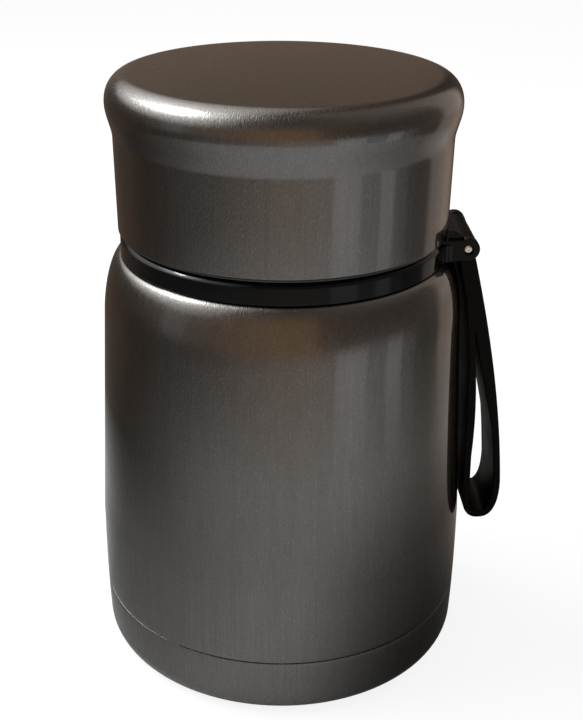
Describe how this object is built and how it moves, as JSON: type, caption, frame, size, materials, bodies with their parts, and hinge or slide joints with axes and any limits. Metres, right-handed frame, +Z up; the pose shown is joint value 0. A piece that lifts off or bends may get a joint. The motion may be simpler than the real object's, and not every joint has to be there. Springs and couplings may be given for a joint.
{
  "type": "insulated food jar",
  "caption": "Vacuum-walled steel food jar with a tall flared screw lid, an insulated stopper with a vent button, and a black neck ring carrying a hinged strap loop.",
  "frame": {"origin": "on the jar's axis, at the flat face it stands on", "axes": "+Z up along the jar's axis, +X towards the hinge ears and the strap"},
  "size_m": [0.1064, 0.096, 0.1537],
  "materials": {
    "lacquered_steel": "satin",
    "bare_steel": "brushed",
    "bright_steel": "polished",
    "gloss_black": "gloss",
    "moulded_black": "fine satin",
    "soft_black": "matt",
    "white_silicone": "matt",
    "grey_button": "satin",
    "foam": "porous",
    "copper_foil": "bright foil",
    "glass_bead": "fused",
    "getter_metal": "sintered"
  },
  "bodies": {
    "jar": {"outer_shell": "lacquered_steel", "base_cap": "lacquered_steel", "bottom_plate": "bare_steel", "port_bead": "glass_bead", "getter": "getter_metal", "getter_clip": "bare_steel", "inner_flask": "bare_steel", "foil_wrap": "copper_foil"},
    "ring": {"strap_ring": "gloss_black", "hinge_pin": "bright_steel"},
    "strap": {"strap": "soft_black"},
    "stopper_gasket": {"stopper_seal": "white_silicone"},
    "stopper": {"stopper_body": "moulded_black", "stopper_cover": "moulded_black", "stopper_foam": "foam", "vent_spring": "bright_steel"},
    "vent": {"vent_button": "grey_button", "vent_valve": "white_silicone"},
    "lid_gasket": {"lid_seal": "white_silicone"},
    "lid": {"lid_shell": "lacquered_steel", "lid_liner": "moulded_black", "lid_foam": "foam"}
  },
  "joints": [
    {"name": "ring_turn", "type": "hinge", "parent": "jar", "child": "ring", "pos_m": [0, 0, 0.111], "axis": [0, 0, 1], "continuous": true},
    {"name": "strap_swing", "type": "hinge", "parent": "ring", "child": "strap", "pos_m": [0.0454, 0, 0.1112], "axis": [0, -1, 0], "range_deg": [0, 150]},
    {"name": "stopper_rise", "type": "slide", "parent": "jar", "child": "stopper_gasket", "axis": [0, 0, 1], "range_m": [0, 0.0241]},
    {"name": "stopper_unscrew", "type": "hinge", "parent": "stopper_gasket", "child": "stopper", "pos_m": [0, 0, 0.121], "axis": [0, 0, 1], "range_deg": [0, 720]},
    {"name": "vent_press", "type": "slide", "parent": "stopper", "child": "vent", "axis": [0, 0, 1], "range_m": [-0.002, 0], "stiffness_N_per_m": 400, "springref_m": 0.0005, "deforming": ["vent_spring"]},
    {"name": "lid_rise", "type": "slide", "parent": "stopper", "child": "lid_gasket", "axis": [0, 0, 1], "range_m": [0, 0.0241]},
    {"name": "lid_unscrew", "type": "hinge", "parent": "lid_gasket", "child": "lid", "pos_m": [0, 0, 0.134], "axis": [0, 0, 1], "range_deg": [0, 720]}
  ],
  "couplings": [
    {"joint": "stopper_rise", "follows": "stopper_unscrew", "m_per_rad": 0.0019099},
    {"joint": "lid_rise", "follows": "lid_unscrew", "m_per_rad": 0.0019099}
  ]
}
